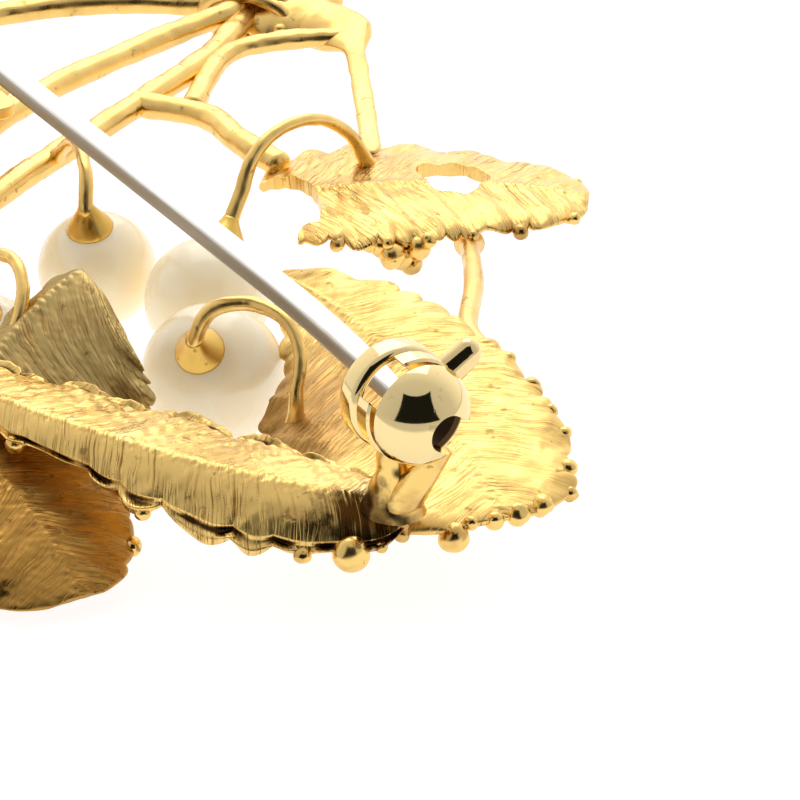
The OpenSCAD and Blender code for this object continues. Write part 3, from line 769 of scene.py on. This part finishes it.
def make_pearls():
    for k, (centre, r, way, stops) in enumerate(PEARLS, 1):
        way = unit(way)
        # Pearl: a near sphere with the drilled hole's rounded mouth under the cup.
        hole = 0.34
        mouth = math.degrees(math.asin(hole / r))
        profile = [(-0.4, 0.0)] + [(-0.4, hole)] + arc((0, 0), r, mouth, 180, 90)
        profile[-1] = (-r, 0.0)
        pts, faces = lathe(profile, 128, axis="Z")
        pts = pts * (1 + 0.006 * wobble(pts, 3.5, 70 + k))[:, None]
        pearl = mesh_object(f"pearl_ball_{k}", turned(pts, way, centre), faces, "pearl")
        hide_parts(f"pearl_{k}")
        # Cup: a flared bell on the pearl, with the glued peg below it.
        seat = r - 0.02
        lip = math.degrees(math.asin(CUP_R / seat))
        bell = [(-0.1, 0.0), (-0.1, 0.33)] + arc((0, 0), seat, 9, lip, 8)
        rise = np.linspace(0, 1, 14)
        rim = seat * math.cos(math.radians(lip))
        bell += [(rim + 0.03 + 1.25 * u, WIRE_R + 0.04 + (CUP_R - WIRE_R) * (1 - u**1.2) ** 1.3)
                 for u in rise]
        bell.append((rim + 1.28, 0.0))
        pts, faces = lathe(bell, 72, axis="Z")
        pts[:, :2] *= (1 + 0.02 * wobble(pts, 1.2, 80 + k))[:, None]
        cup = mesh_object(f"cup_{k}", turned(pts, way, centre), faces, "wire_gold", finish="cup_gold")
        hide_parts(f"pearl_cup_{k}")
        # Wire: bent from the cup over to its solder joint, spreading where it is soldered.
        top = np.array(centre) + way * (r + 0.35)
        route = smooth_route([top, top + way * 0.6] + stops, 18)
        n = len(route)
        u = np.linspace(0, 1, n)
        radii = WIRE_R * (1 + 0.12 * np.sin(7 * u) + 0.55 * np.clip((u - 0.88) / 0.12, 0, 1) ** 2)
        span = np.array(stops[-1]) - top
        wire = tube(f"hook_{k}", route, radii, (-span[1], span[0], 0.1), "wire_gold", sides=20, rough=0.02,
                    pitch=0.9, seed=90 + k)
        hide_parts(f"pearl_wire_{k}")


# ---------------------------------------------------------------- pin and hinge
def prism(outline, low, high):
    """A closed outline of (x, z) points drawn out along Y."""
    pts = [(x, low, z) for x, z in outline] + [(x, high, z) for x, z in outline]
    return np.array(pts), drum_faces(len(outline))


def make_hinge():
    plate_z = plate_low.z / MM
    plate_top = plate_high.z / MM
    knuckle_w, ear_t, gap = 1.8, 0.65, 0.05
    outline = []
    for cx, cy, start in ((2.6, 1.2, 0), (-2.6, 1.2, 90), (-2.6, -1.2, 180), (2.6, -1.2, 270)):
        for a in np.radians(np.linspace(start, start + 90, 8)):
            outline.append((cx - PIN_SPAN + 0.8 * math.cos(a), cy + PIN_DY + 0.8 * math.sin(a)))
    pts = [(x, y, plate_z) for x, y in outline] + [(x, y, plate_top) for x, y in outline]
    plate = soften(mesh_object("hinge_base", pts, drum_faces(len(outline)), "wire_gold", sharp=30), 0.12)
    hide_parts("hinge_plate")
    ears = []
    for side in (-1, 1):
        inner = side * (knuckle_w / 2 + gap)
        low, high = sorted((PIN_DY + inner, PIN_DY + inner + side * ear_t))
        head = [(-PIN_SPAN + 1.05 * math.cos(a), PIN_Z + 1.05 * math.sin(a))
                for a in np.radians(np.arange(0, 181, 6))]
        foot = [(-PIN_SPAN - 1.25, plate_top + 0.1), (-PIN_SPAN - 1.3, plate_top - 0.1),
                (-PIN_SPAN + 1.3, plate_top - 0.1), (-PIN_SPAN + 1.25, plate_top + 0.1)]
        ears.append(prism(head + foot, low, high))
    ear = soften(mesh_object("hinge_cheeks", *joined(ears), "polished_gold", sharp=30), 0.09)
    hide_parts("hinge_ears")
    outer = knuckle_w / 2 + gap + ear_t
    rivet = [(-outer - 0.3, 0.0), (-outer - 0.27, 0.35), (-outer - 0.15, 0.57), (-outer, 0.65), (-outer, 0.4),
             (outer, 0.4), (outer, 0.65), (outer + 0.15, 0.57), (outer + 0.27, 0.35), (outer + 0.3, 0.0)]
    pts, faces = lathe(rivet, 64, (-PIN_SPAN, PIN_DY, PIN_Z), "Y")
    obj = mesh_object("hinge_rivet_heads", pts, faces, "polished_gold", sharp=40)
    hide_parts("hinge_rivet")
    w = knuckle_w / 2
    knuckle = [(-w, 0.43), (-w, 0.88), (-w + 0.12, 1.0), (w - 0.12, 1.0), (w, 0.88), (w, 0.43)]
    pts, faces = lathe(knuckle, 96, (-PIN_SPAN, PIN_DY, PIN_Z), "Y")
    obj = mesh_object("pin_eye", pts, faces, "white_gold", "pin", sharp=40)
    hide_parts("pin_knuckle")


def make_pin():
    """A springy needle: flattened along its length, round and pointed inside the catch."""
    tip = -0.8
    sides = 48
    x = np.concatenate([np.linspace(-PIN_SPAN + 0.75, -8, 120), np.linspace(-8, tip - 0.3, 50)[1:],
                        tip - 0.3 * (1 - np.sin(np.linspace(0, 1, 9)[1:] * math.pi / 2))])
    taper = np.clip((tip - x) / 5, 0, 1)
    nose = np.sqrt(np.clip(1 - ((x - tip + 0.3) / 0.3).clip(0) ** 2, 0.004, 1))
    radius = (0.36 + (PIN_R - 0.36) * taper**0.8) * nose
    root = np.clip((x + PIN_SPAN - 2.0) / 0.6, 0, 1)
    radius = radius + (0.78 - PIN_R) * (1 - root * root * (3 - 2 * root))
    flat = np.clip((tip - x) / 3.0, 0, 1)
    ang = np.arange(sides) * 2 * math.pi / sides
    rows = []
    for xi, r, f in zip(x, radius, flat):
        power = 2 + 2.6 * f
        c, s = np.cos(ang), np.sin(ang)
        norm = (np.abs(c) ** power + np.abs(s) ** power) ** (-1 / power)
        thick = 1 - 0.24 * f
        ring = [np.full(sides, xi), PIN_DY + r * c * norm, PIN_Z + r * thick * s * norm]
        rows.append(np.stack(ring, -1))
    pts = np.array(rows)
    # The springy pin bows a little, so that its tip rests low in the catch.
    pts[..., 2] -= (0.7 * np.clip((x + 12.0) / 11.0, 0, 1) ** 2)[:, None]
    pts[..., 1] += 0.008 * wobble(pts[:, :1], 9, 5)
    faces = tube_faces(len(x), sides)
    obj = mesh_object("pin_needle", pts.reshape(-1, 3), faces, "white_gold", "pin", sharp=50)
    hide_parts("pin_stem")


# ---------------------------------------------------------------- safety catch
BARREL = (-2.6, -1.4)
BAND = (-1.32, -0.45)
RUN_GAP = 0.05
MOUTH_AT, MOUTH_W = -36.0, 1.5
GAP_AT, GAP_W = 130.0, 1.9
LEVER_AT = 30.0
CAP_R, CAP_SINK = 2.04, 0.4


def slot_cutter(angle, width, x0, x1, start=0.6, stop=4.0):
    """A box that runs outwards from the catch's axis, at an angle from +Y towards +Z."""
    a = math.radians(angle)
    out = np.array([0, math.cos(a), math.sin(a)])
    side = np.array([0, -math.sin(a), math.cos(a)])
    mid = np.array([0, 0, AXIS_Z])
    # The slot's inner end is round.
    turn = np.radians(np.linspace(90, 270, 17))
    ring = [(start + width / 2 * math.cos(a), width / 2 * math.sin(a)) for a in turn]
    ring += [(stop, -width / 2), (stop, width / 2)]
    pts = [mid + (x, 0, 0) + out * o + side * h for x in (x0, x1) for o, h in ring]
    return pts, drum_faces(len(ring))


def finish_cut(obj, edge):
    for poly in obj.data.polygons:
        poly.use_smooth = True
    obj.data.set_sharp_from_angle(angle=math.radians(30))
    return soften(obj, edge, 3, 30)


def make_catch():
    mid = (0, 0, AXIS_Z)
    r, bore = CATCH_R, CATCH_R - WALL
    round_edge = 0.3
    # Fixed barrel: a ring with a rounded back and front, open at the mouth.
    ring = [(BARREL[0], bore)] + arc((BARREL[0] + round_edge, r - round_edge), round_edge, 180, 90, 7)
    ring += arc((BARREL[1] - round_edge, r - round_edge), round_edge, 90, 0, 7) + [(BARREL[1], bore)]
    pts, faces = lathe(ring, 180, mid)
    obj = mesh_object("barrel_ring", pts, faces, "polished_gold", sharp=30)
    finish_cut(cut(obj, *slot_cutter(MOUTH_AT, MOUTH_W, BARREL[0] - 1, BARREL[1] + 0.01)), 0.05)
    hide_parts("catch_barrel")
    # End cap: a thin ball whose middle lies behind its rim, with the same mouth.
    inner_r = CAP_R - WALL
    outer_turn = np.linspace(math.asin(CAP_SINK / CAP_R), math.pi / 2, 30)
    inner_turn = np.linspace(math.pi / 2, math.asin(CAP_SINK / inner_r), 30)
    dome = [(CAP_R * math.sin(a) - CAP_SINK, CAP_R * math.cos(a)) for a in outer_turn]
    dome += [(inner_r * math.sin(a) - CAP_SINK, inner_r * math.cos(a)) for a in inner_turn]
    pts, faces = lathe(dome, 180, mid)
    obj = mesh_object("dome_cap", pts, faces, "polished_gold", sharp=30)
    finish_cut(cut(obj, *slot_cutter(MOUTH_AT, MOUTH_W, -1, 3, start=0.35)), 0.06)
    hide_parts("catch_end_cap")
    # Rotor: an inner sleeve with a band between barrel and cap, and the gap that lets the pin in.
    sleeve, inner, band = bore - RUN_GAP, bore - RUN_GAP - 0.3, r - 0.07
    front = 0.2
    rotor = [(BARREL[0] + 0.1, inner), (BARREL[0] + 0.1, sleeve), (BAND[0], sleeve), (BAND[0], band - 0.1),
             (BAND[0] + 0.1, band), (BAND[1] - 0.1, band), (BAND[1], band - 0.1), (BAND[1], sleeve),
             (front, sleeve), (front, inner)]
    pts, faces = lathe(rotor, 180, mid)
    obj = mesh_object("rotor_ring", pts, faces, "polished_gold", "lock", sharp=30, finish="rotor_gold")
    finish_cut(cut(obj, *slot_cutter(GAP_AT, GAP_W, BARREL[0] - 1, 1)), 0.04)
    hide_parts("catch_rotor")
    make_lever(band)
    make_foot()


def make_lever(band):
    """A spoon-shaped tab: an oval section that narrows, then flares to a rounded end."""
    a = math.radians(LEVER_AT)
    out = np.array([0, math.cos(a), math.sin(a)])
    side = np.array([0, -math.sin(a), math.cos(a)])
    mid = np.array([(BAND[0] + BAND[1]) / 2, 0, AXIS_Z])
    reach = 1.5
    straight, sides = 0.72, 40
    rounded = straight + (1 - straight) * np.sin(np.linspace(0, 1, 12)[1:] * math.pi / 2)
    u = np.concatenate([np.linspace(0, straight, 22), rounded])
    ang = np.arange(sides) * 2 * math.pi / sides
    rows = []
    for ui in u:
        end = math.sqrt(max(1 - (max(ui - straight, 0) / (1 - straight)) ** 2, 0.0004))
        wide = (0.50 - 0.03 * ui) * end
        thick = (0.66 - 0.14 * ui**1.5) * end
        centre = mid + out * (band - 0.25 + (reach + 0.2) * ui) + side * 0.10 * ui**2
        rows.append(centre + np.outer(wide * np.cos(ang), (1, 0, 0)) + np.outer(thick * np.sin(ang), side))
    pts = np.array(rows).reshape(-1, 3)
    obj = mesh_object("thumb_tab", pts, tube_faces(len(u), sides), "polished_gold", "lock")
    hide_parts("catch_lever")


def blend_sections(sections, sides=48, power=2.1, rings=48):
    """Points through sections (x, y, z, half x, half y), eased from one to the next."""
    s = np.asarray(sections, float)
    at = np.linspace(0, len(s) - 1, rings)
    ang = np.arange(sides) * 2 * math.pi / sides
    norm = (np.abs(np.cos(ang)) ** power + np.abs(np.sin(ang)) ** power) ** (-1 / power)
    rows = []
    for q in at:
        i = min(int(q), len(s) - 2)
        f = q - i
        x, y, z, hx, hy = s[i] + (s[i + 1] - s[i]) * f
        ring = [x + hx * np.cos(ang) * norm, y + hy * np.sin(ang) * norm, np.full(sides, z)]
        rows.append(np.stack(ring, -1))
    return np.array(rows)


def make_foot():
    """The neck under the barrel, flaring into the leaf, and the prop under the cap."""
    top = AXIS_Z - CATCH_R
    heights = np.linspace(0, 1, 9)
    neck = [(-2.0 - 0.3 * h**2, 0.1 * h, top + 0.22 - 3.2 * h, 0.62 + 0.75 * h**2, 0.6 + 0.6 * h**2)
            for h in heights]
    prop = [(0.1 - 2.3 * h, 0.85 - 0.75 * h, top + 0.4 - 3.3 * h, 0.40 + 0.6 * h, 0.5 + 0.5 * h)
            for h in heights]
    sides = 48
    legs = []
    for k, sections in enumerate((neck, prop)):
        pts = blend_sections(sections, sides)
        mid = pts.mean(axis=1, keepdims=True)
        pts = pts + unit(pts - mid) * (0.05 * wobble(pts, 1.1, 40 + k))[..., None]
        legs.append((pts.reshape(-1, 3), tube_faces(len(pts), sides)))
    obj = mesh_object("catch_neck", *joined(legs), "wire_gold", sharp=60, finish="foot_gold")
    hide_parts("catch_foot")


# ---------------------------------------------------------------- the brooch
NOTCH = [(0.004, 0.44, 1.0), (0.08, 0.42, 0), (0.15, 0.32, 0), (0.2, 0.1, 0), (0.215, -0.1, 0),
         (0.22, -0.4, 0), (0.2, -0.7, 0), (0.15, -0.76, 0), (0.13, -0.9, 0), (0.14, -1.4, 0),
         (0.004, -1.8, 1.0)]
OPENINGS = {"fan_leaf": [oval(0.645, 0.12, 0.095, 0.36), NOTCH]}
for leaf_name in LEAVES:
    make_leaf(leaf_name, OPENINGS.get(leaf_name, ()))
make_granules("catch_leaf_granules", "catch_leaf", [(-1, 6, 12, 3, 0.34)],
              extra=[(0.940, -0.93, 0.55, 0.74), (0.995, -0.6, 0.5, 0.3), (0.975, -0.95, 0.4, 0.28)])
make_granules("broad_leaf_granules", "broad_leaf", [(-1, 12, 12, 1, 0.3), (1, 8, 13, 1, 0.34)],
              extra=[(0.994, -0.8, 0.75, 0.6), (0.990, -0.1, 0.45, 0.38), (0.988, 0.35, 0.4, 0.46),
                     (0.99, -0.45, 0.35, 0.3), (0.98, 0.75, 0.35, 0.45), (0.97, -0.98, 0.4, 0.35)])
make_granules("fan_leaf_granules", "fan_leaf", [(-1, 3, 13, 2, 0.32), (1, 9, 13, 1, 0.3)],
              extra=[(0.38, -0.93, 0.7, 0.5), (0.41, -0.95, 1.0, 0.6), (0.45, -0.90, 1.4, 0.58),
                     (0.48, -0.92, 1.7, 0.5), (0.50, -0.93, 0.9, 0.55), (0.43, -0.80, 0.8, 0.5),
                     (0.35, -0.9, 0.6, 0.42)])
make_granules("low_leaf_granules", "low_leaf", [(1, 8, 13, 2, 0.42), (-1, 8, 13, 2, 0.36)])
make_granules("side_leaf_granules", "side_leaf", [(1, 6, 13, 2, 0.36), (-1, 6, 13, 2, 0.36)])
make_granules("hinge_leaf_granules", "hinge_leaf", [(1, 7, 15, 2, 0.36), (-1, 7, 15, 2, 0.36)])
make_stems()
make_binding()
make_pearls()
make_hinge()
make_pin()
make_catch()


# ---------------------------------------------------------------- floor, light and camera
def metres(point):
    return Vector((np.asarray(point, float) + PLACE) * MM)


# How far behind the catch the middle of the glow lies, in mm.
FLOOR_AHEAD = 152


def make_floor(ground):
    mesh = bpy.data.meshes.new("table_top")
    half = 1.5
    corners = [(-half, -half, 0), (half, -half, 0), (half, half, 0), (-half, half, 0)]
    mesh.from_pydata(corners, [], [(0, 1, 2, 3)])
    obj = bpy.data.objects.new("table_top", mesh)
    obj.data.materials.append(floor_material())
    obj.location = metres(np.array(ground) * FLOOR_AHEAD)
    obj.location.z = 0
    bpy.context.scene.collection.objects.link(obj)


def softbox(name, place, aim, size, power, colour=(1, 1, 1)):
    data = bpy.data.lights.new(name, "AREA")
    data.shape = "RECTANGLE"
    data.size, data.size_y = (v * MM for v in size)
    data.energy = power
    data.color = colour
    obj = bpy.data.objects.new(name, data)
    bpy.context.scene.collection.objects.link(obj)
    obj.location = metres(place)
    obj.rotation_euler = (metres(aim) - obj.location).to_track_quat("-Z", "Y").to_euler()
    return obj


ELEVATION = math.radians(28)
PIN_TURN = math.radians(59.5)
DISTANCE = 140.0
FOCAL_OVER_SENSOR = 4.75
SENSOR = 36


def make_camera():
    data = bpy.data.cameras.new("macro")
    data.sensor_width = SENSOR
    data.lens = SENSOR * FOCAL_OVER_SENSOR
    data.shift_x, data.shift_y = -0.02625, 0.0275
    data.clip_start, data.clip_end = 0.005, 10
    obj = bpy.data.objects.new("macro", data)
    bpy.context.scene.collection.objects.link(obj)
    ground = Vector((-math.sin(PIN_TURN), math.cos(PIN_TURN), 0))
    look = ground * math.cos(ELEVATION) + Vector((0, 0, -math.sin(ELEVATION)))
    obj.location = metres((0, 0, AXIS_Z - 0.3)) - look * DISTANCE * MM
    obj.rotation_euler = look.to_track_quat("-Z", "Y").to_euler()
    bpy.context.scene.camera = obj
    return look, ground


# The tent's opening: how far sideways and how far up a unit direction may point.
OPENING_WIDE, OPENING_HIGH = 0.74, 0.84


def make_world(ground):
    """A light tent, brightest behind the brooch, with a dark opening on the camera's side."""
    world = bpy.data.worlds.new("tent")
    bpy.context.scene.world = world
    world.use_nodes = True
    nodes, links = world.node_tree.nodes, world.node_tree.links
    nodes.clear()
    out = nodes.new("ShaderNodeOutputWorld")
    back = nodes.new("ShaderNodeBackground")
    place = nodes.new("ShaderNodeTexCoord")

    def along(way):
        node = nodes.new("ShaderNodeVectorMath")
        node.operation = "DOT_PRODUCT"
        node.inputs[1].default_value = way
        links.new(place.outputs["Generated"], node.inputs[0])
        return node.outputs["Value"]

    def combine(kind, a, b):
        node = nodes.new("ShaderNodeMath")
        node.operation = kind
        for socket, value in zip(node.inputs, (a, b)):
            feed(links, socket, value)
        return node.outputs[0]

    glow = nodes.new("ShaderNodeValToRGB")
    stops = glow.color_ramp.elements
    stops[0].position, stops[0].color = 0.0, (0.42, 0.42, 0.43, 1)
    stops[1].position, stops[1].color = 1.0, (1.0, 0.99, 0.97, 1)
    middle = stops.new(0.5)
    middle.color = (0.52, 0.52, 0.53, 1)
    links.new(combine("MULTIPLY_ADD", along(ground), 0.5), glow.inputs["Fac"])
    glow.inputs["Fac"].links[0].from_node.inputs[2].default_value = 0.5
    # The opening: a slab of directions near the camera's, wider low down than high up.
    side = Vector((ground.y, -ground.x, 0))
    sideways = combine("ABSOLUTE", combine("ADD", along(side), -0.04), 0.0)
    tilt = combine("ADD", sideways, combine("MULTIPLY", along((0, 0, 1)), 0.35))
    inside = combine("MULTIPLY", combine("LESS_THAN", tilt, OPENING_WIDE),
                     combine("LESS_THAN", along((0, 0, 1)), OPENING_HIGH))
    inside = combine("MULTIPLY", inside, combine("LESS_THAN", along(ground), 0.05))
    shade = nodes.new("ShaderNodeMix")
    shade.data_type = "RGBA"
    shade.inputs[7].default_value = (0.008, 0.009, 0.008, 1)
    links.new(inside, shade.inputs[0])
    links.new(glow.outputs[0], shade.inputs[6])
    links.new(shade.outputs[2], back.inputs["Color"])
    back.inputs["Strength"].default_value = 1.35
    links.new(back.outputs[0], out.inputs["Surface"])


look, ground = make_camera()
make_floor(ground)
make_world(ground)
view = np.array(ground)
right = np.array([view[1], -view[0], 0])
middle = np.array([-22.0, 2.0, 4.0])
softbox("overhead", middle + UP * 170 + view * 110, middle, (150, 110), 0.07)
softbox("back", middle + view * 190 + UP * 120, middle, (160, 80), 0.05)
bpy.context.scene.view_settings.view_transform = "Standard"
bpy.context.scene.view_settings.look = "None"
